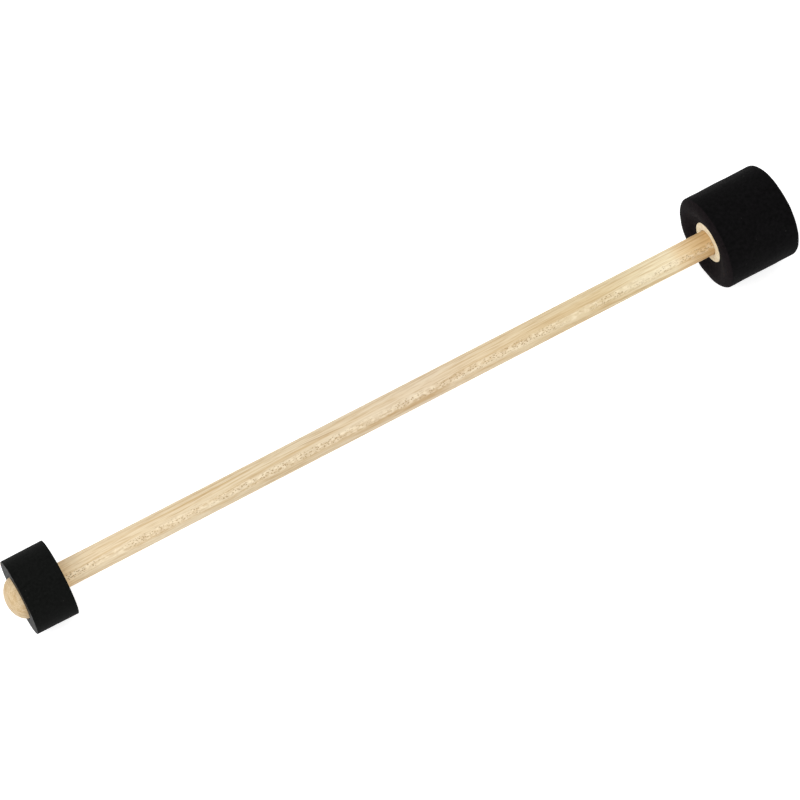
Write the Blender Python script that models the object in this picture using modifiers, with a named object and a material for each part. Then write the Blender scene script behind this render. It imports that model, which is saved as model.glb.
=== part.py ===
"""A cajon mallet: a wooden shaft with a large soft foam head on one end, and on the
other a small firm foam ring round a domed wooden tip.

The mallet is modelled upright along Z, as it would turn in a lathe. An empty then
lays it along +X, large head first, with the middle of its length at the origin.
Units are metres.
"""
import math

import bpy

# The shaft
SHAFT_D = 0.0121            # dowel
SHAFT_CLEAR = 0.3320        # bare length, from the small ring to the large core's face
SHAFT_END_CHAMFER = 0.0008

# The two wooden cores
CORE_D = 0.0200
LARGE_CORE_LEN = 0.0260
CORE_EDGE_CHAMFER = 0.0003
DOME_LEN = 0.0072           # half an ellipse, from the core's full width to its point
DOME_RISE = 0.0060          # how far the point stands out of the small ring

# How deep the shaft is glued into each core
LARGE_SOCKET = 0.0190
SMALL_SOCKET = 0.0170

# The large foam head
LARGE_D = 0.0450
LARGE_LEN = 0.0375          # from the crown of its shaft-side face to its striking end
LARGE_CROWN = 0.0019        # how far that face bulges past the core
LARGE_CROWN_D = 0.0360      # where the bulge is highest
LARGE_EDGE = 0.0023         # roundness of the shaft-side edge
STRIKING_EDGE = 0.0025      # roundness of the far edge

# The small foam ring
SMALL_D = 0.0352
SMALL_LEN = 0.0200
SMALL_EDGE = 0.0003

GAP = 0.0003                # glue line between touching pieces
SIDES = 48                  # facets round the axis; one lies flat underneath

# Places along the axis, worked out from the sizes above
LENGTH = DOME_RISE + SMALL_LEN + SHAFT_CLEAR - LARGE_CROWN + LARGE_LEN
TIP_Z = -LENGTH / 2
SMALL_OUTER_Z = TIP_Z + DOME_RISE
SMALL_INNER_Z = SMALL_OUTER_Z + SMALL_LEN
CORE_FACE_Z = SMALL_INNER_Z + SHAFT_CLEAR
CROWN_Z = CORE_FACE_Z - LARGE_CROWN
STRIKING_Z = CROWN_Z + LARGE_LEN
SHAFT_START_Z = SMALL_INNER_Z - SMALL_SOCKET
SHAFT_STOP_Z = CORE_FACE_Z + LARGE_SOCKET

SHAFT_R = SHAFT_D / 2
CORE_R = CORE_D / 2
SHAFT_BORE_R = SHAFT_R + GAP
CORE_BORE_R = CORE_R + GAP


def arc(centre, radii, start, stop, points):
    """Points of an elliptic arc as (radius, z), by angle in degrees from the +radius side."""
    for i in range(points):
        turn = math.radians(start + (stop - start) * i / (points - 1))
        yield centre[0] + radii[0] * math.cos(turn), centre[1] + radii[1] * math.sin(turn)


def material(name, colour, roughness):
    """A Principled material with the part's plain colour."""
    mat = bpy.data.materials.new(name)
    mat.use_nodes = True
    shader = mat.node_tree.nodes["Principled BSDF"]
    shader.inputs["Base Color"].default_value = (*colour, 1.0)
    shader.inputs["Roughness"].default_value = roughness
    shader.inputs["Metallic"].default_value = 0.0
    mat.diffuse_color = (*colour, 1.0)
    return mat


def turned(name, profile, mat, parts, axis):
    """A solid of revolution. The profile's (radius, z) points run down its outer side."""
    mesh = bpy.data.meshes.new(name)
    points = [(radius, 0.0, z) for radius, z in profile]
    mesh.from_pydata(points, [(i, i + 1) for i in range(len(points) - 1)], [])
    obj = bpy.data.objects.new(name, mesh)
    parts.objects.link(obj)
    obj.data.materials.append(mat)
    obj.parent = axis
    # Half a facet's turn puts a flat facet underneath
    obj.rotation_euler.z = math.pi / SIDES
    screw = obj.modifiers.new("turn", "SCREW")
    screw.axis = "Z"
    screw.angle = math.tau
    screw.steps = SIDES
    screw.render_steps = SIDES
    screw.use_merge_vertices = True
    screw.merge_threshold = 0.00001
    screw.use_smooth_shade = True
    return obj


def shaft_profile():
    """The dowel, with both ends chamfered."""
    c = SHAFT_END_CHAMFER
    return [
        (0, SHAFT_STOP_Z),
        (SHAFT_R - c, SHAFT_STOP_Z),
        (SHAFT_R, SHAFT_STOP_Z - c),
        (SHAFT_R, SHAFT_START_Z + c),
        (SHAFT_R - c, SHAFT_START_Z),
        (0, SHAFT_START_Z),
    ]


def large_core_profile():
    """The large head's plug. Its face shows round the shaft, and its socket is blind."""
    c = CORE_EDGE_CHAMFER
    top = CORE_FACE_Z + LARGE_CORE_LEN
    return [
        (0, top),
        (CORE_R - c, top),
        (CORE_R, top - c),
        (CORE_R, CORE_FACE_Z + c),
        (CORE_R - c, CORE_FACE_Z),
        (SHAFT_BORE_R, CORE_FACE_Z),
        (SHAFT_BORE_R, SHAFT_STOP_Z + GAP),
        (0, SHAFT_STOP_Z + GAP),
    ]


def large_foam_profile():
    """The soft cylinder. Its shaft-side face bulges round the core, and its bore is blind."""
    radius = LARGE_D / 2
    crown_r = LARGE_CROWN_D / 2
    bore_top = CORE_FACE_Z + LARGE_CORE_LEN + GAP
    profile = [(0, STRIKING_Z)]
    profile += arc((radius - STRIKING_EDGE, STRIKING_Z - STRIKING_EDGE),
                   (STRIKING_EDGE, STRIKING_EDGE), 90, 0, 5)
    profile += arc((crown_r, CROWN_Z + LARGE_EDGE), (radius - crown_r, LARGE_EDGE), 0, -90, 6)
    # From the crown the face falls back to the core in a soft wave
    steps = 6
    for i in range(1, steps + 1):
        share = i / steps
        fall = LARGE_CROWN * (1 - math.cos(math.pi * share)) / 2
        profile.append((crown_r + (CORE_BORE_R - crown_r) * share, CROWN_Z + fall))
    return profile + [(CORE_BORE_R, bore_top), (0, bore_top)]


def small_foam_profile():
    """The firm ring, bored right through, as a closed loop."""
    radius = SMALL_D / 2
    e = SMALL_EDGE
    return [
        (CORE_BORE_R, SMALL_INNER_Z),
        (radius - e, SMALL_INNER_Z),
        (radius, SMALL_INNER_Z - e),
        (radius, SMALL_OUTER_Z + e),
        (radius - e, SMALL_OUTER_Z),
        (CORE_BORE_R, SMALL_OUTER_Z),
        (CORE_BORE_R, SMALL_INNER_Z),
    ]


def domed_tip_profile():
    """The small head's plug: a socket for the shaft, and a dome past the ring."""
    c = CORE_EDGE_CHAMFER
    profile = [
        (0, SHAFT_START_Z - GAP),
        (SHAFT_BORE_R, SHAFT_START_Z - GAP),
        (SHAFT_BORE_R, SMALL_INNER_Z),
        (CORE_R - c, SMALL_INNER_Z),
        (CORE_R, SMALL_INNER_Z - c),
    ]
    profile += arc((0, TIP_Z + DOME_LEN), (CORE_R, DOME_LEN), 0, -90, 12)
    return profile


def build():
    """Clear the scene and make the five pieces."""
    for obj in list(bpy.data.objects):
        bpy.data.objects.remove(obj)
    parts = bpy.data.collections.new("cajon_mallet")
    bpy.context.scene.collection.children.link(parts)

    axis = bpy.data.objects.new("mallet_axis", None)
    axis.rotation_euler.y = math.pi / 2
    parts.objects.link(axis)

    beech = material("pale_beech", (0.79, 0.66, 0.43), 0.55)
    soft_foam = material("soft_black_foam", (0.010, 0.010, 0.011), 0.95)
    firm_foam = material("firm_black_foam", (0.012, 0.012, 0.013), 0.85)

    turned("shaft", shaft_profile(), beech, parts, axis)
    turned("large_core", large_core_profile(), beech, parts, axis)
    turned("large_foam_head", large_foam_profile(), soft_foam, parts, axis)
    turned("small_foam_ring", small_foam_profile(), firm_foam, parts, axis)
    turned("domed_tip", domed_tip_profile(), beech, parts, axis)
    bpy.context.view_layer.update()


build()
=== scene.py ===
# %% [markdown]
# A cajon mallet, piece by piece. The real one is a beech dowel glued into two turned plugs. One
# plug sits in a soft foam cylinder, the other fills a firm foam ring and ends in a dome. We load
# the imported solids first, because every place below is worked out from them.

import math

import bpy
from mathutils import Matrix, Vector


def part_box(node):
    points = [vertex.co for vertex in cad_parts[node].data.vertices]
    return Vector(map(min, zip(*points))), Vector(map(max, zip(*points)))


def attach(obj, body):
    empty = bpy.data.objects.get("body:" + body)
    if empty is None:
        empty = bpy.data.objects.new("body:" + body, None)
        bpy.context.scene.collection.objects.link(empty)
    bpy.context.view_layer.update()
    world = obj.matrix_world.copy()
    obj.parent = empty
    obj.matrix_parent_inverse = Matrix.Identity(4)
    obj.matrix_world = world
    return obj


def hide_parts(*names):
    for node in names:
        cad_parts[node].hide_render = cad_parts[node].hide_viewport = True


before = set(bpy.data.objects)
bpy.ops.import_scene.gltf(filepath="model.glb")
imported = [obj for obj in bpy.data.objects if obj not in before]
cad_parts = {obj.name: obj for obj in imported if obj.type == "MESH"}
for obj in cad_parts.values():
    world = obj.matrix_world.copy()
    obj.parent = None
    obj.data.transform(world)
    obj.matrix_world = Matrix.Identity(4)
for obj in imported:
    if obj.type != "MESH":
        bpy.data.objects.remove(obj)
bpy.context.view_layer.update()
MM = 0.001

# %% [markdown]
# The shaft lies along X, so a turned piece is known by where along X it starts and stops, and by
# its radius. Reading these from the frame keeps the looks and the solids in one place. The solids
# have 48 flat facets and lie on one of them, so their height is a little less than their diameter.

# %% Places along the shaft
SOLID_FACETS = 48
GLUE = 0.3 * MM              # the gap that the solids keep for a glue line


def span(node):
    """Where a node starts and stops along X, and its radius over its corners."""
    low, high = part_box(node)
    return low.x, high.x, (high.z - low.z) / 2 / math.cos(math.pi / SOLID_FACETS)


SHAFT_START, SHAFT_STOP, SHAFT_R = span("shaft")
CORE_FACE, CORE_STOP, CORE_R = span("large_core")
CROWN_X, STRIKING_X, HEAD_R = span("large_foam_head")
RING_OUTER, RING_INNER, RING_R = span("small_foam_ring")
TIP_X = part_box("domed_tip")[0].x
print("bare shaft in mm:", round((CORE_FACE - RING_INNER) / MM, 1))

# %% [markdown]
# A long lens from about one and a half metres shows the heads almost without perspective. The
# camera looks down at the mallet from the small head's side, which lays the shaft across the
# picture at a slope. Its aim is moved a little, so that the mallet lands where it should.

# %% Camera
LENS = 150.47
SENSOR = 36
DISTANCE = 1.4910
AZIMUTH = math.radians(29.73)
ELEVATION = math.radians(64.555)
AIM = Vector((-0.17 * MM, 0, 0))
AIM_RIGHT = -0.22 * MM
AIM_UP = 0.50 * MM

back = Vector((
    -math.sin(AZIMUTH) * math.cos(ELEVATION),
    -math.cos(AZIMUTH) * math.cos(ELEVATION),
    math.sin(ELEVATION),
))
camera_turn = (-back).to_track_quat("-Z", "Y")
aim = AIM + camera_turn @ Vector((AIM_RIGHT, AIM_UP, 0))

camera = bpy.data.objects.new("camera", bpy.data.cameras.new("camera"))
bpy.context.scene.collection.objects.link(camera)
camera.data.lens = LENS
camera.data.sensor_width = SENSOR
camera.location = aim + back * DISTANCE
camera.rotation_mode = "QUATERNION"
camera.rotation_quaternion = camera_turn
bpy.context.scene.camera = camera
print("camera at", [round(c, 3) for c in camera.location])

# %% [markdown]
# Materials are written with a few helpers. Screens store colours on the sRGB curve and shaders
# work in linear light, so one function turns a hex value to linear. Another adds a node, sets
# its sockets and links its inputs, so a material reads as a list of steps.

# %% Material helpers


def colour(value):
    """Turns an sRGB hex value such as e6d2aa into a linear colour."""
    channels = [int(value[i:i + 2], 16) / 255 for i in (0, 2, 4)]
    linear = [c / 12.92 if c <= 0.04045 else ((c + 0.055) / 1.055) ** 2.4 for c in channels]
    return (*linear, 1.0)


def add(tree, kind, settings=None, links=None):
    """Adds one node, sets its properties and sockets, and links its inputs."""
    made = tree.nodes.new(kind)
    for name, value in (settings or {}).items():
        if isinstance(name, int) or name in made.inputs:
            made.inputs[name].default_value = value
        else:
            setattr(made, name, value)
    for name, output in (links or {}).items():
        tree.links.new(output, made.inputs[name])
    return made


def set_stops(ramp, stops):
    """Gives a colour ramp its stops, as pairs of place and hex value."""
    elements = ramp.color_ramp.elements
    while len(elements) < len(stops):
        elements.new(1.0)
    for element, (place, value) in zip(elements, sorted(stops)):
        element.position = place
        element.color = colour(value)


def new_material(name):
    """A node material with an empty tree."""
    made = bpy.data.materials.new(name)
    made.use_nodes = True
    made.node_tree.nodes.clear()
    return made, made.node_tree


# %% [markdown]
# The mallet lies on white paper. The paper is tilted slightly, because the two heads have
# different radii and the mallet rests on both. A plane is enough for it, large enough to fill
# every view.

# %% Floor
LARGE_REST = Vector((CORE_FACE, 0, -HEAD_R))
SMALL_REST = Vector((RING_OUTER, 0, -RING_R))
FLOOR_SIDE = 6.0
FLOOR_ROOM = 0.4 * MM        # the foam's uneven skin stays above the paper

slope = SMALL_REST - LARGE_REST
tilt = math.atan2(slope.z, -slope.x)
bpy.ops.object.select_all(action="DESELECT")
bpy.ops.mesh.primitive_plane_add(size=FLOOR_SIDE, location=(0, 0, 0), rotation=(0, tilt, 0))
floor = bpy.context.active_object
floor.name = "floor"
floor.location = (LARGE_REST + SMALL_REST) / 2 - Vector((0, 0, FLOOR_ROOM))
print("floor tilt in degrees:", round(math.degrees(tilt), 2))

# %% [markdown]
# Paper is matt and nearly white. A stronger lamp could burn it out to pure white, but that would
# burn the wood out too. Light Path gives the paper a glow that only the camera and reflections
# see: the paper turns pure white, and the mallet's own soft shadow still darkens it.

# %% White paper
PAPER = "e8e8e8"
PAPER_GLOW = 0.62
WHITE = "ffffff"

paper, tree = new_material("white_paper")
path = add(tree, "ShaderNodeLightPath")
seen = add(tree, "ShaderNodeMath", {"operation": "MAXIMUM"},
           {0: path.outputs["Is Camera Ray"], 1: path.outputs["Is Glossy Ray"]})
glow = add(tree, "ShaderNodeMath", {"operation": "MULTIPLY", 1: PAPER_GLOW}, {0: seen.outputs[0]})
shine = add(tree, "ShaderNodeEmission", {"Color": colour(WHITE)}, {"Strength": glow.outputs[0]})
matt = add(tree, "ShaderNodeBsdfDiffuse", {"Color": colour(PAPER)})
both = add(tree, "ShaderNodeAddShader", None, {0: matt.outputs[0], 1: shine.outputs[0]})
add(tree, "ShaderNodeOutputMaterial", None, {"Surface": both.outputs[0]})
floor.data.materials.append(paper)
print("floor wears", paper.name)

# %% [markdown]
# Product photographs of this kind are lit nearly evenly from all round. A white surround gives
# most of that light. It is dimmer for the mallet than for the camera, which sees it as white.

# %% Surround
SURROUND = 0.60

world = bpy.data.worlds.new("surround")
world.use_nodes = True
bpy.context.scene.world = world
tree = world.node_tree
tree.nodes.clear()
path = add(tree, "ShaderNodeLightPath")
seen = add(tree, "ShaderNodeMath", {"operation": "MAXIMUM"},
           {0: path.outputs["Is Camera Ray"], 1: path.outputs["Is Transmission Ray"]})
level = add(tree, "ShaderNodeMapRange", {"To Min": SURROUND, "To Max": 1.0},
            {"Value": seen.outputs[0]})
sky = add(tree, "ShaderNodeBackground", {"Color": colour(WHITE)}, {"Strength": level.outputs[0]})
add(tree, "ShaderNodeOutputWorld", None, {"Surface": sky.outputs[0]})
print("surround strength:", SURROUND)

# %% [markdown]
# Three large square lamps give the light a gentle direction. The strongest hangs high on the
# small head's side and lifts the faces that look that way. Two weaker ones, behind and in front,
# even out the shaft from edge to edge. The Standard view keeps colours as they are written.

# %% Lamps
SOFTBOXES = [
    ("key_softbox", (-0.85, 0.25, 1.2), 13.0, 1.2),      # name, place in m, watts, side in m
    ("far_softbox", (0.25, 1.2, 0.9), 3.0, 1.0),
    ("near_softbox", (-0.15, -1.3, 0.75), 8.0, 1.2),
]


def softbox(name, place, power, side):
    """A square area lamp that looks at the mallet's middle."""
    lamp = bpy.data.objects.new(name, bpy.data.lights.new(name, "AREA"))
    lamp.data.energy = power
    lamp.data.size = side
    lamp.location = place
    lamp.rotation_mode = "QUATERNION"
    lamp.rotation_quaternion = (-Vector(place)).to_track_quat("-Z", "Y")
    bpy.context.scene.collection.objects.link(lamp)


for softbox_values in SOFTBOXES:
    softbox(*softbox_values)
bpy.context.scene.view_settings.view_transform = "Standard"

# %% [markdown]
# The wood is sanded bare beech, a pale, close-grained hardwood. It could be a picture wrapped
# round the dowel, but a solid pattern is better here: it is cut right on every surface, as real
# wood is, and it has no seam. We build it in layers, each in its own cell.
#
# First come the growth layers. They show as long tan streaks where they are cut across. Noise
# stretched along the grain gives such streaks. A Mapping node turns it, so that one of its
# directions goes across the layers, and slow wandering bends them, as in a real board.

# %% Growth layers
LAYER_WIDTH = 1.0 * MM
LAYER_RUN = 75 * MM
LAYER_DEPTH = 0.28           # how fast the streaks change along Z, against how fast along Y
WANDERS_PER_METRE = 14.0
WANDER_DEPTH = 2.2 * MM
GRAIN_LEAN = math.radians(0.9)
LAYER_TONES = [(0.30, "e0cfb4"), (0.46, "f6f0e6"), (0.60, "ffffff"), (0.78, "f3e9d8")]


def along_layers(tree, where, layer_turn):
    """Object coordinates, bent a little and turned so that Y goes across the growth layers."""
    wander = add(tree, "ShaderNodeTexNoise", {"Scale": WANDERS_PER_METRE, "Detail": 2.0},
                 {"Vector": where})
    push = add(tree, "ShaderNodeVectorMath", {"operation": "SCALE", "Scale": WANDER_DEPTH},
               {0: wander.outputs["Color"]})
    bent = add(tree, "ShaderNodeVectorMath", {"operation": "ADD"}, {0: where, 1: push.outputs[0]})
    turned = add(tree, "ShaderNodeMapping", {"Rotation": (layer_turn, 0, GRAIN_LEAN)},
                 {"Vector": bent.outputs[0]})
    return turned.outputs[0]


def growth_layers(tree, turned, tint):
    """Multiplies a tint by the long tan streaks of the growth layers."""
    stretch = (1 / LAYER_RUN, 1 / LAYER_WIDTH, LAYER_DEPTH / LAYER_WIDTH)
    stretched = add(tree, "ShaderNodeMapping", {"Scale": stretch}, {"Vector": turned})
    layers = add(tree, "ShaderNodeTexNoise", {"Scale": 1.0, "Detail": 3.0, "Roughness": 0.62},
                 {"Vector": stretched.outputs[0]})
    tone = add(tree, "ShaderNodeValToRGB", None, {"Fac": layers.outputs["Fac"]})
    set_stops(tone, LAYER_TONES)
    toned = add(tree, "ShaderNodeMix", {"data_type": "RGBA", "blend_type": "MULTIPLY", 0: 1.0},
                {6: tint, 7: tone.outputs["Color"]})
    return toned.outputs[2]


print("growth layers in mm:", round(LAYER_WIDTH / MM, 2), "wide,", round(LAYER_RUN / MM), "long")

# %% [markdown]
# Fibres run the same way as the layers, but they are shorter and narrower. Besides a fine
# pattern of tone, they give the sanded surface its faint relief and its small changes of gloss.

# %% Fibres
FIBRE_WIDTH = 0.45 * MM      # real fibres are finer; this is as coarse as the picture needs
FIBRE_RUN = 9 * MM
FIBRE_TONES = [(0.34, "dccbb0"), (0.52, "fffdf8")]
FIBRE_SHARE = 0.55


def fibre_pattern(tree, turned):
    """Fine streaks along the grain, as a value."""
    stretch = (1 / FIBRE_RUN, 1 / FIBRE_WIDTH, 1 / FIBRE_WIDTH)
    stretched = add(tree, "ShaderNodeMapping", {"Scale": stretch}, {"Vector": turned})
    fibres = add(tree, "ShaderNodeTexNoise", {"Scale": 1.0, "Detail": 2.0},
                 {"Vector": stretched.outputs[0]})
    return fibres.outputs["Fac"]


def tinted_by_fibres(tree, fibres, wood):
    """Multiplies a wood colour by the tone of its fibres."""
    tone = add(tree, "ShaderNodeValToRGB", None, {"Fac": fibres})
    set_stops(tone, FIBRE_TONES)
    body = add(tree, "ShaderNodeMix",
               {"data_type": "RGBA", "blend_type": "MULTIPLY", 0: FIBRE_SHARE},
               {6: wood, 7: tone.outputs["Color"]})
    return body.outputs[2]


print("fibres in mm:", round(FIBRE_WIDTH / MM, 2), "wide,", round(FIBRE_RUN / MM), "long")

# %% [markdown]
# Where a ray of the wood is cut end on, it shows as a short dark dash with a paler halo. The
# dashes lie in one band along the dowel, where its surface runs with the growth layers. So we
# need a mask that is 1 in the middle of that band and fades to its edges. The dowel's coordinates
# are turned until Y goes across the side that the camera sees.

# %% Band of the flecks
FACING = math.radians(157.56)    # turns Y across the visible side, and Z away from the camera
BAND_CENTRE = 1.7 * MM
BAND_HALF = 2.2 * MM
BAND_FULL = 0.35                 # the mask is 1 over this share of the half width


def fleck_band(tree, across):
    """A mask for the band of ray flecks, from the place across the dowel."""
    off = add(tree, "ShaderNodeMath", {"operation": "SUBTRACT", 1: BAND_CENTRE}, {0: across})
    away = add(tree, "ShaderNodeMath", {"operation": "ABSOLUTE"}, {0: off.outputs[0]})
    band = add(tree, "ShaderNodeMapRange",
               {"interpolation_type": "SMOOTHSTEP", "From Min": BAND_FULL * BAND_HALF,
                "From Max": BAND_HALF, "To Min": 1.0, "To Max": 0.0}, {"Value": away.outputs[0]})
    return band.outputs[0]


print("fleck band in mm:", round(2 * BAND_HALF / MM, 1), "wide")

# %% [markdown]
# The pale halos come first, as soft blobs of cream noise inside the band. The dark dashes go on
# top of them. A Voronoi pattern stretched along the grain gives one dash to each cell, and a
# second noise lets them come and go.

# %% Halos and dashes
HALO_LENGTH = 2.4 * MM
HALO_WIDTH = 1.1 * MM
HALO_FROM = 0.45             # level of the noise where a halo begins, and where it is full
HALO_FULL = 0.66
HALO_SHARE = 0.45
CREAM = "f6e8cb"
FLECK_LENGTH = 1.2 * MM
FLECK_WIDTH = 0.75 * MM
FLECK_CORE = 0.20            # a dash is full this far from its middle, in cells, and then fades
FLECK_EDGE = 0.42
FLECK_SHARE = 0.85
FLECK_BROWN = "9c7e55"
PATCHES_PER_METRE = 55.0
PATCH_FROM = 0.32            # level of the noise where dashes begin, and where they are full
PATCH_FULL = 0.48


def cream_halos(tree, facing, band, wood):
    """Adds soft cream patches to a wood colour, inside the band."""
    stretch = (1 / HALO_LENGTH, 1 / HALO_WIDTH, 1 / HALO_WIDTH)
    space = add(tree, "ShaderNodeMapping", {"Scale": stretch}, {"Vector": facing})
    halos = add(tree, "ShaderNodeTexNoise", {"Scale": 1.0, "Detail": 1.0},
                {"Vector": space.outputs[0]})
    halo = add(tree, "ShaderNodeMapRange",
               {"From Min": HALO_FROM, "From Max": HALO_FULL, "To Max": HALO_SHARE},
               {"Value": halos.outputs["Fac"]})
    here = add(tree, "ShaderNodeMath", {"operation": "MULTIPLY"}, {0: halo.outputs[0], 1: band})
    paler = add(tree, "ShaderNodeMix", {"data_type": "RGBA", 7: colour(CREAM)},
                {0: here.outputs[0], 6: wood})
    return paler.outputs[2]


def dark_dashes(tree, where, facing, band, wood):
    """Adds the short dark dashes to a wood colour, inside the band and in patches."""
    comes = add(tree, "ShaderNodeTexNoise", {"Scale": PATCHES_PER_METRE, "Detail": 2.0},
                {"Vector": where})
    patch = add(tree, "ShaderNodeMapRange", {"From Min": PATCH_FROM, "From Max": PATCH_FULL},
                {"Value": comes.outputs["Fac"]})
    shown = add(tree, "ShaderNodeMath", {"operation": "MULTIPLY"}, {0: band, 1: patch.outputs[0]})
    stretch = (1 / FLECK_LENGTH, 1 / FLECK_WIDTH, 1 / FLECK_WIDTH)
    space = add(tree, "ShaderNodeMapping", {"Scale": stretch}, {"Vector": facing})
    cells = add(tree, "ShaderNodeTexVoronoi", {"Scale": 1.0, "Randomness": 0.9},
                {"Vector": space.outputs[0]})
    dash = add(tree, "ShaderNodeMapRange",
               {"From Min": FLECK_CORE, "From Max": FLECK_EDGE, "To Min": FLECK_SHARE, "To Max": 0.0},
               {"Value": cells.outputs["Distance"]})
    here = add(tree, "ShaderNodeMath", {"operation": "MULTIPLY"},
               {0: dash.outputs[0], 1: shown.outputs[0]})
    flecked = add(tree, "ShaderNodeMix", {"data_type": "RGBA", 7: colour(FLECK_BROWN)},
                  {0: here.outputs[0], 6: wood})
    return flecked.outputs[2]


print("dashes in mm:", round(FLECK_LENGTH / MM, 2), "apart along the grain")

# %% [markdown]
# One late growth layer shows as a single thin brown line that leans across the grain. It is worth
# its own few nodes, because the eye goes to it. The distance from a leaning line gives its width,
# and the distance from its middle gives its two fading ends.

# %% Brown line
LINE_MIDDLE = -41 * MM
LINE_HALF = 12 * MM
LINE_FULL = 0.7              # the ends fade beyond this share of the half length
LINE_ACROSS = -2.2 * MM
LINE_LEAN = 0.059
LINE_HALF_WIDTH = 0.26 * MM
LINE_SHARE = 0.6
LINE_BROWN = "97744c"


def brown_line(tree, along_x, across, wood):
    """Adds the thin leaning line to a wood colour."""
    lean = add(tree, "ShaderNodeMath",
               {"operation": "MULTIPLY_ADD", 1: LINE_LEAN, 2: LINE_ACROSS - LINE_LEAN * LINE_MIDDLE},
               {0: along_x})
    beside = add(tree, "ShaderNodeMath", {"operation": "SUBTRACT"}, {0: across, 1: lean.outputs[0]})
    distance = add(tree, "ShaderNodeMath", {"operation": "ABSOLUTE"}, {0: beside.outputs[0]})
    thin = add(tree, "ShaderNodeMapRange",
               {"From Max": LINE_HALF_WIDTH, "To Min": LINE_SHARE, "To Max": 0.0},
               {"Value": distance.outputs[0]})
    from_middle = add(tree, "ShaderNodeMath", {"operation": "SUBTRACT", 1: LINE_MIDDLE}, {0: along_x})
    how_far = add(tree, "ShaderNodeMath", {"operation": "ABSOLUTE"}, {0: from_middle.outputs[0]})
    fades = add(tree, "ShaderNodeMapRange",
                {"From Min": LINE_FULL * LINE_HALF, "From Max": LINE_HALF,
                 "To Min": 1.0, "To Max": 0.0}, {"Value": how_far.outputs[0]})
    here = add(tree, "ShaderNodeMath", {"operation": "MULTIPLY"},
               {0: thin.outputs[0], 1: fades.outputs[0]})
    lined = add(tree, "ShaderNodeMix", {"data_type": "RGBA", 7: colour(LINE_BROWN)},
                {0: here.outputs[0], 6: wood})
    return lined.outputs[2]


print("brown line in mm:", round(2 * LINE_HALF / MM), "long")

# %% [markdown]
# Now the layers go together. A colour ramp along X gives the broad tint, with painted shade at
# the collar end of the dowel, the growth layers and fibres are multiplied into it, and only the
# dowel gets flecks. Sanded bare wood is dull, so the roughness is about a half and the specular
# level is below the default.

# %% Beech
HALF = 0.5 * (CORE_FACE - RING_INNER)
MIDDLE = 0.5 * (CORE_FACE + RING_INNER)
WOOD_IOR = 1.5
WOOD_SPECULAR = 0.35
WOOD_ROUGHNESS = (0.48, 0.62)
GRAIN_RELIEF = 0.05 * MM
GRAIN_STRENGTH = 0.25


def flecks_and_line(tree, where, wood):
    """Adds halos, dashes and the brown line, all placed on the side that the camera sees."""
    facing = add(tree, "ShaderNodeMapping", {"Rotation": (FACING, 0, 0)}, {"Vector": where})
    split = add(tree, "ShaderNodeSeparateXYZ", None, {0: facing.outputs[0]})
    band = fleck_band(tree, split.outputs["Y"])
    wood = cream_halos(tree, facing.outputs[0], band, wood)
    wood = dark_dashes(tree, where, facing.outputs[0], band, wood)
    return brown_line(tree, split.outputs["X"], split.outputs["Y"], wood)


def beech(name, tints_and_shade, layer_turn, flecked):
    """Sanded bare beech: a close, low-gloss wood with tan growth layers and fine fibres."""
    made, tree = new_material(name)
    where = add(tree, "ShaderNodeTexCoord").outputs["Object"]
    split = add(tree, "ShaderNodeSeparateXYZ", None, {0: where})
    share = add(tree, "ShaderNodeMapRange", {"From Min": MIDDLE - HALF, "From Max": MIDDLE + HALF},
                {"Value": split.outputs["X"]})
    tint = add(tree, "ShaderNodeValToRGB", None, {"Fac": share.outputs[0]})
    set_stops(tint, tints_and_shade)

    turned = along_layers(tree, where, layer_turn)
    fibres = fibre_pattern(tree, turned)
    wood = growth_layers(tree, turned, tint.outputs["Color"])
    wood = tinted_by_fibres(tree, fibres, wood)
    if flecked:
        wood = flecks_and_line(tree, where, wood)

    smooth, rough = WOOD_ROUGHNESS
    gloss = add(tree, "ShaderNodeMapRange", {"To Min": smooth, "To Max": rough}, {"Value": fibres})
    grain = add(tree, "ShaderNodeBump", {"Strength": GRAIN_STRENGTH, "Distance": GRAIN_RELIEF},
                {"Height": fibres})
    shader = add(tree, "ShaderNodeBsdfPrincipled",
                 {"IOR": WOOD_IOR, "Specular IOR Level": WOOD_SPECULAR},
                 {"Base Color": wood, "Roughness": gloss.outputs[0], "Normal": grain.outputs[0]})
    add(tree, "ShaderNodeOutputMaterial", None, {"Surface": shader.outputs[0]})
    return made


print("tint runs over", round(2 * HALF / MM, 1), "mm of bare shaft")

# %% [markdown]
# The dowel's tint changes along its length. It is an even pale tan for most of the way, a little
# warmer past the middle, palest two centimetres before the collar, and brown in its last
# centimetre, which is painted shade from the large head. Right beside the small ring it is written
# paler than it looks, because the ring shades it. Both plugs wear one material, whose tint goes
# from a tan slightly darker than the dowel, at the dome, to a pale cream at the collar.

# %% Wood materials


def along(millimetres):
    """A place on the bare shaft, from its middle, as a share of its length."""
    return 0.5 + millimetres * MM / (2 * HALF)


# The browning stops from 150 mm on are painted shade, where the large head shades the dowel by the
# collar. The first stop is written paler against the small ring's shade.
SHAFT_TINTS_AND_SHADE = [
    (along(-165), "f4dcb4"), (along(-158), "dfceb0"), (along(-60), "d8c9ad"),
    (along(20), "dbcbb2"), (along(45), "ddccae"), (along(108), "dbcaa6"),
    (along(128), "e6dabb"), (along(145), "f0e4c6"), (along(150), "ecd6b0"),
    (along(157), "dfc193"), (along(165), "d8b684"),
]
DOME_TINT = "cfba97"
COLLAR_TINT = "f0e5cb"
PLUG_TINTS = [(0.0, DOME_TINT), (0.5, DOME_TINT), (1.0, COLLAR_TINT)]
LAYERS_ON_DOWEL = FACING + math.radians(48)
LAYERS_ON_PLUGS = FACING + math.radians(90)

dowel_wood = beech("sanded_beech_dowel", SHAFT_TINTS_AND_SHADE, LAYERS_ON_DOWEL, True)
plug_wood = beech("sanded_beech_plug", PLUG_TINTS, LAYERS_ON_PLUGS, False)
print("wood materials:", dowel_wood.name, plug_wood.name)

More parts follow.
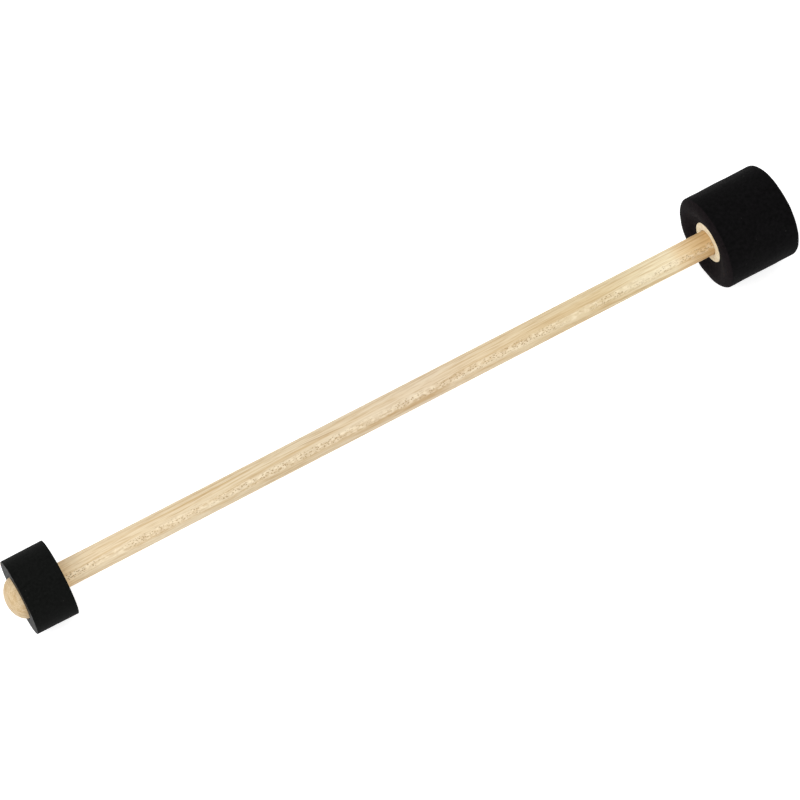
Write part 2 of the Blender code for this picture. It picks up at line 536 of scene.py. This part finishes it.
# %% [markdown]
# Both heads are black rubber foam: very dark, dull, and made of tiny cells. A plain dark colour
# would look like painted metal. So one noise mottles the tone, and a Voronoi pattern and a finer
# noise together give the bump of the cells. Here and there a cell holds a paler grain.

# %% Foam
FOAM_IOR = 1.5
GRAIN_RARITY = 0.998         # one cell in five hundred holds a pale grain
GRAIN_REACH = 0.35           # how far it reaches from the cell's middle, in cells
PALE_GRAIN = "3c3a38"
MOTTLE_RATE = 0.35           # a patch of the mottling is about three cells across
MOTTLE_FROM = 0.3            # level of the noise where the tone turns paler, and where it is palest
MOTTLE_FULL = 0.72
CELL_RELIEF = 0.12 * MM


def mottled(tree, where, cell, base, paler):
    """A foam colour that wanders between two dark tones."""
    mottle = add(tree, "ShaderNodeTexNoise",
                 {"Scale": MOTTLE_RATE / cell, "Detail": 4.0, "Roughness": 0.65}, {"Vector": where})
    tone = add(tree, "ShaderNodeMapRange", {"From Min": MOTTLE_FROM, "From Max": MOTTLE_FULL},
               {"Value": mottle.outputs["Fac"]})
    body = add(tree, "ShaderNodeMix", {"data_type": "RGBA", 6: colour(base), 7: colour(paler)},
               {0: tone.outputs[0]})
    return body.outputs[2]


def pale_grains(tree, cells, body):
    """Adds a few paler grains to a foam colour, each in the middle of a cell."""
    lottery = add(tree, "ShaderNodeSeparateColor", None, {0: cells.outputs["Color"]})
    chosen = add(tree, "ShaderNodeMath", {"operation": "GREATER_THAN", 1: GRAIN_RARITY},
                 {0: lottery.outputs["Red"]})
    near = add(tree, "ShaderNodeMath", {"operation": "LESS_THAN", 1: GRAIN_REACH},
               {0: cells.outputs["Distance"]})
    grain = add(tree, "ShaderNodeMath", {"operation": "MULTIPLY"},
                {0: chosen.outputs[0], 1: near.outputs[0]})
    speckled = add(tree, "ShaderNodeMix", {"data_type": "RGBA", 7: colour(PALE_GRAIN)},
                   {0: grain.outputs[0], 6: body})
    return speckled.outputs[2]


def foam(name, base, paler, cell, rough, gloss, bump):
    """Black cellular rubber foam: dull, very dark, with fine cells and a few pale grains."""
    made, tree = new_material(name)
    where = add(tree, "ShaderNodeTexCoord").outputs["Object"]
    cells = add(tree, "ShaderNodeTexVoronoi", {"Scale": 1 / cell}, {"Vector": where})
    body = pale_grains(tree, cells, mottled(tree, where, cell, base, paler))
    fine = add(tree, "ShaderNodeTexNoise", {"Scale": 1.0 / cell, "Detail": 3.0}, {"Vector": where})
    height = add(tree, "ShaderNodeMath", {"operation": "ADD"},
                 {0: cells.outputs["Distance"], 1: fine.outputs["Fac"]})
    relief = add(tree, "ShaderNodeBump", {"Strength": bump, "Distance": CELL_RELIEF},
                 {"Height": height.outputs[0]})
    shader = add(tree, "ShaderNodeBsdfPrincipled",
                 {"Roughness": rough, "IOR": FOAM_IOR, "Specular IOR Level": gloss},
                 {"Base Color": body, "Normal": relief.outputs[0]})
    add(tree, "ShaderNodeOutputMaterial", None, {"Surface": shader.outputs[0]})
    return made


print("relief of the cells in mm:", round(CELL_RELIEF / MM, 2))

# %% [markdown]
# The large head is an open foam with a dull skin. The small one is denser and its cells are
# closed. The faces that look along the axis differ from the sides on both: rougher on the large
# head, and painted paler there as painted light from the key lamp; smoother on the small one.
# That makes four finishes from one function. The specular levels are far below the default,
# because light that enters the cells hardly comes back.

# %% Foam materials
SOFT_CELL = 0.55 * MM        # real cells are about half this; drawn coarser so that they show
FIRM_CELL = 0.40 * MM

soft_foam = foam("open_black_rubber_foam", "060606", "111011", SOFT_CELL,
                 rough=0.75, gloss=0.026, bump=0.55)
# The paler tones of this face material are painted light, standing in for the key lamp on the faces
# that look along the axis.
soft_lit_face = foam("open_black_rubber_foam_painted_lit_face", "0d0a0b", "1a1517", SOFT_CELL,
                 rough=0.85, gloss=0.045, bump=0.65)
firm_foam = foam("closed_cell_black_foam", "080908", "131413", FIRM_CELL,
                 rough=0.75, gloss=0.035, bump=0.22)
firm_face = foam("closed_cell_black_foam_cut", "0a0b0a", "141514", FIRM_CELL,
                 rough=0.5, gloss=0.028, bump=0.18)
print("foam materials:", [m.name for m in (soft_foam, soft_lit_face, firm_foam, firm_face)])

# %% [markdown]
# Every piece is turned round one axis, so they are all made alike. A circle is added at the start
# of the outline. Its ring of edges is extruded, moved along and scaled to each next point, as you
# would by hand. A ring on the axis is drawn in almost to a point, and merging by distance closes
# it. The same merge joins an outline that comes back to its start.

# %% Turning helper
AROUND = 128
POLE_R = 0.01 * MM
WELD = 0.02 * MM
SHARP_FROM = math.radians(40)


def turn_piece(name, outline, finish):
    """Turns an outline of (x, radius) points round the X axis, by extruding a ring of edges."""
    bpy.ops.object.select_all(action="DESELECT")
    x, radius = outline[0]
    here = max(radius, POLE_R)
    bpy.ops.mesh.primitive_circle_add(
        vertices=AROUND, radius=here, location=(x, 0, 0), rotation=(0, math.pi / 2, 0))
    piece = bpy.context.active_object
    piece.name = name
    piece.data.name = name
    bpy.ops.object.transform_apply(location=True, rotation=True, scale=True)
    bpy.ops.object.mode_set(mode="EDIT")
    bpy.ops.mesh.select_all(action="SELECT")
    for next_x, next_radius in outline[1:]:
        wide = max(next_radius, POLE_R)
        bpy.ops.mesh.extrude_region_move(TRANSFORM_OT_translate={"value": (next_x - x, 0, 0)})
        ratio = wide / here
        bpy.ops.transform.resize(value=(1, ratio, ratio), center_override=(next_x, 0, 0))
        x = next_x
        here = wide
    bpy.ops.mesh.select_all(action="SELECT")
    bpy.ops.mesh.remove_doubles(threshold=WELD)
    bpy.ops.mesh.normals_make_consistent(inside=False)
    bpy.ops.object.mode_set(mode="OBJECT")
    bpy.ops.object.shade_smooth_by_angle(angle=SHARP_FROM)
    piece.data.materials.append(finish)
    print(name, "has", len(piece.data.polygons), "faces")
    return piece


# %% [markdown]
# The shaft is a dowel: straight and round, with both ends eased so that it slides into its
# sockets. The ends are hidden in the plugs. Its long side is cut into forty rings, so that its
# faces aren't long slivers.

# %% Shaft
EASE = 0.8 * MM
SHAFT_RINGS = 40


def line(start, stop, steps):
    """Evenly spaced points of an outline, from the one after start to stop."""
    return [(start[0] + (stop[0] - start[0]) * i / steps, start[1] + (stop[1] - start[1]) * i / steps)
            for i in range(1, steps + 1)]


shaft_outline = [(SHAFT_START, 0), (SHAFT_START, SHAFT_R - EASE), (SHAFT_START + EASE, SHAFT_R)]
shaft_outline += line(shaft_outline[-1], (SHAFT_STOP - EASE, SHAFT_R), SHAFT_RINGS)
shaft_outline += [(SHAFT_STOP, SHAFT_R - EASE), (SHAFT_STOP, 0)]
shaft = turn_piece("beech_shaft", shaft_outline, dowel_wood)

# %% [markdown]
# The large head's plug shows only its end face, a pale collar round the shaft. Both its edges are
# rounded a little, as with sandpaper, and its socket is blind. The rounding is an arc, so we need
# a helper for arcs too.

# %% Large plug
EDGE = 0.35 * MM
BORE_R = SHAFT_R + GLUE


def bow(centre, radii, start, stop, points):
    """Points of an elliptic arc as (x, radius), by angle in degrees from the +X side."""
    made = []
    for i in range(points):
        angle = math.radians(start + (stop - start) * i / (points - 1))
        made.append((centre[0] + radii[0] * math.cos(angle), centre[1] + radii[1] * math.sin(angle)))
    return made


core_outline = [(CORE_STOP, 0)]
core_outline += bow((CORE_STOP - EDGE, CORE_R - EDGE), (EDGE, EDGE), 0, 90, points=4)
core_outline += line((CORE_STOP - EDGE, CORE_R), (CORE_FACE + EDGE, CORE_R), steps=8)
core_outline += bow((CORE_FACE + EDGE, CORE_R - EDGE), (EDGE, EDGE), 90, 180, points=5)[1:]
core_outline += [(CORE_FACE, BORE_R), (SHAFT_STOP + GLUE, BORE_R), (SHAFT_STOP + GLUE, 0)]
core = turn_piece("beech_collar_plug", core_outline, plug_wood)

# %% [markdown]
# The small head's plug fills the ring and stands out of it as a low dome, half an ellipse in
# outline. The arc has many points, because the eye sees a facet on a curved edge at once.

# %% Domed tip
DOME_LENGTH = 7.2 * MM
DOME_POINTS = 30

dome_base = TIP_X + DOME_LENGTH
dome_outline = [(SHAFT_START - GLUE, 0), (SHAFT_START - GLUE, BORE_R), (RING_INNER, BORE_R)]
dome_outline += [(RING_INNER, CORE_R - EDGE), (RING_INNER - EDGE, CORE_R)]
dome_outline += line((RING_INNER - EDGE, CORE_R), (dome_base, CORE_R), steps=6)
dome_outline += bow((dome_base, 0), (DOME_LENGTH, CORE_R), 90, 180, DOME_POINTS)[1:]
dome = turn_piece("beech_domed_tip", dome_outline, plug_wood)

# %% [markdown]
# The large head is a soft foam cylinder. Its shaft side swells round the plug in a soft wave, and
# both its edges are rounded. The outline starts in the blind bore, comes out of its mouth, goes
# over the swelling and down the side, and ends in the middle of the striking face.

# %% Large foam head
CROWN_R = 0.8 * HEAD_R       # where the swelling is highest
CROWN_EDGE = 2.3 * MM
STRIKING_EDGE = 2.5 * MM
PLUG_BORE_R = CORE_R + GLUE
PROUD = 0.15 * MM            # the unevenness presses the foam in a little more than it lifts it
CROWN_PROUD = 3 * PROUD
WAVE_STEPS = 14

foam_r = HEAD_R + PROUD
crown = CROWN_X - CROWN_PROUD
end = STRIKING_X + PROUD
head_outline = [(CORE_STOP + GLUE, 0), (CORE_STOP + GLUE, PLUG_BORE_R)]
head_outline += line(head_outline[-1], (CORE_FACE, PLUG_BORE_R), steps=12)
for step in range(1, WAVE_STEPS + 1):
    share = step / WAVE_STEPS
    rise = (CORE_FACE - crown) * (1 - math.cos(math.pi * share)) / 2
    head_outline.append((CORE_FACE - rise, PLUG_BORE_R + (CROWN_R - PLUG_BORE_R) * share))
head_outline += bow((crown + CROWN_EDGE, CROWN_R), (CROWN_EDGE, foam_r - CROWN_R),
                    180, 90, points=12)[1:]
head_outline += line((crown + CROWN_EDGE, foam_r), (end - STRIKING_EDGE, foam_r), steps=34)
head_outline += bow((end - STRIKING_EDGE, foam_r - STRIKING_EDGE), (STRIKING_EDGE, STRIKING_EDGE),
                    90, 0, points=10)[1:]
head_outline += line((end, foam_r - STRIKING_EDGE), (end, 0), steps=16)
head = turn_piece("soft_foam_head", head_outline, soft_foam)

# %% [markdown]
# Soft foam is never quite true. A slow noise moves the surface in and out by a few tenths of a
# millimetre. A bump would only change the shading, so a Displace modifier does it to the real
# mesh, and the outline wanders too. A vertex group keeps it off the bore, which fits the plug.

# %% Uneven skin
UNEVEN_SIZE = 11 * MM
UNEVEN_DEPTH = 0.55 * MM
BORE_CLEAR = 0.5 * MM
BACK_CLEAR = 1 * MM


def unevenness(piece, size, depth):
    """Moves a foam surface in and out by a slow noise, and leaves its bore alone."""
    group = piece.vertex_groups.new(name="skin")
    skin = [v.index for v in piece.data.vertices
            if math.hypot(v.co.y, v.co.z) > PLUG_BORE_R + BORE_CLEAR
            or v.co.x > CORE_STOP + BACK_CLEAR]
    group.add(skin, 1.0, "REPLACE")
    noise = bpy.data.textures.new(piece.name + "_unevenness", "CLOUDS")
    noise.noise_scale = size
    noise.noise_depth = 2
    press = piece.modifiers.new("unevenness", "DISPLACE")
    press.texture = noise
    press.texture_coords = "LOCAL"
    press.strength = depth
    press.mid_level = 0.5
    press.vertex_group = group.name
    bpy.ops.object.select_all(action="DESELECT")
    bpy.context.view_layer.objects.active = piece
    piece.select_set(True)
    bpy.ops.object.modifier_apply(modifier=press.name)
    print(len(skin), "points of", piece.name, "are skin")


unevenness(head, UNEVEN_SIZE, UNEVEN_DEPTH)

# %% [markdown]
# The ends of the head are rougher than its side, and painted paler as painted light from the key
# lamp. A piece can wear two materials: a second slot is added, and the faces whose normals look
# along the axis are given it.

# %% Painted light on the face of the large head
HEAD_LIT_FACE_STEEP = 0.55


def end_faces_finish_and_painted_light(piece, finish, steep):
    """Gives a second finish to the faces that look along the axis; on the large head its paler tone
    is painted light.
    """
    piece.data.materials.append(finish)
    for face in piece.data.polygons:
        if abs(face.normal.x) > steep:
            face.material_index = 1
    print(piece.name, "wears", [m.name for m in piece.data.materials])


end_faces_finish_and_painted_light(head, soft_lit_face, HEAD_LIT_FACE_STEEP)

# %% [markdown]
# The small head is a ring cut from firmer foam, with crisp edges, and slightly narrower at its
# outer end. It is bored right through, so its outline is a loop that comes back to its start.

# %% Small foam ring
CRISP = 0.12 * MM
OUTER_TAPER = 0.15 * MM
RING_PROUD = 0.25 * MM
RING_STEEP = 0.9

ring_r = RING_R + RING_PROUD
outer_r = ring_r - OUTER_TAPER
ring_outline = [(RING_INNER, PLUG_BORE_R)]
ring_outline += line(ring_outline[0], (RING_INNER, ring_r - CRISP), steps=8)
ring_outline += [(RING_INNER - CRISP, ring_r)]
ring_outline += line((RING_INNER - CRISP, ring_r), (RING_OUTER + CRISP, outer_r), steps=20)
ring_outline += [(RING_OUTER, outer_r - CRISP)]
ring_outline += line((RING_OUTER, outer_r - CRISP), (RING_OUTER, PLUG_BORE_R), steps=8)
ring_outline += line((RING_OUTER, PLUG_BORE_R), (RING_INNER, PLUG_BORE_R), steps=10)
ring = turn_piece("firm_foam_ring", ring_outline, firm_foam)
end_faces_finish_and_painted_light(ring, firm_face, RING_STEEP)

# %% [markdown]
# Each piece now says which solid it stands for, which body it moves with and which finish it
# wears. The mallet has no joints, so everything rides on one body. The hidden solid is given the
# first material of its piece too.

# %% Tie the pieces to the frame
STANDS_FOR = [
    (shaft, "shaft", "shaft_wood"),
    (core, "large_core", "core_wood"),
    (dome, "domed_tip", "core_wood"),
    (head, "large_foam_head", "soft_foam"),
    (ring, "small_foam_ring", "firm_foam"),
]
for piece, node, finish in STANDS_FOR:
    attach(piece, "root")
    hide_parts(node)
    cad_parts[node].data.materials.clear()
    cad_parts[node].data.materials.append(piece.data.materials[0])
print("pieces:", [piece.name for piece, node, finish in STANDS_FOR])
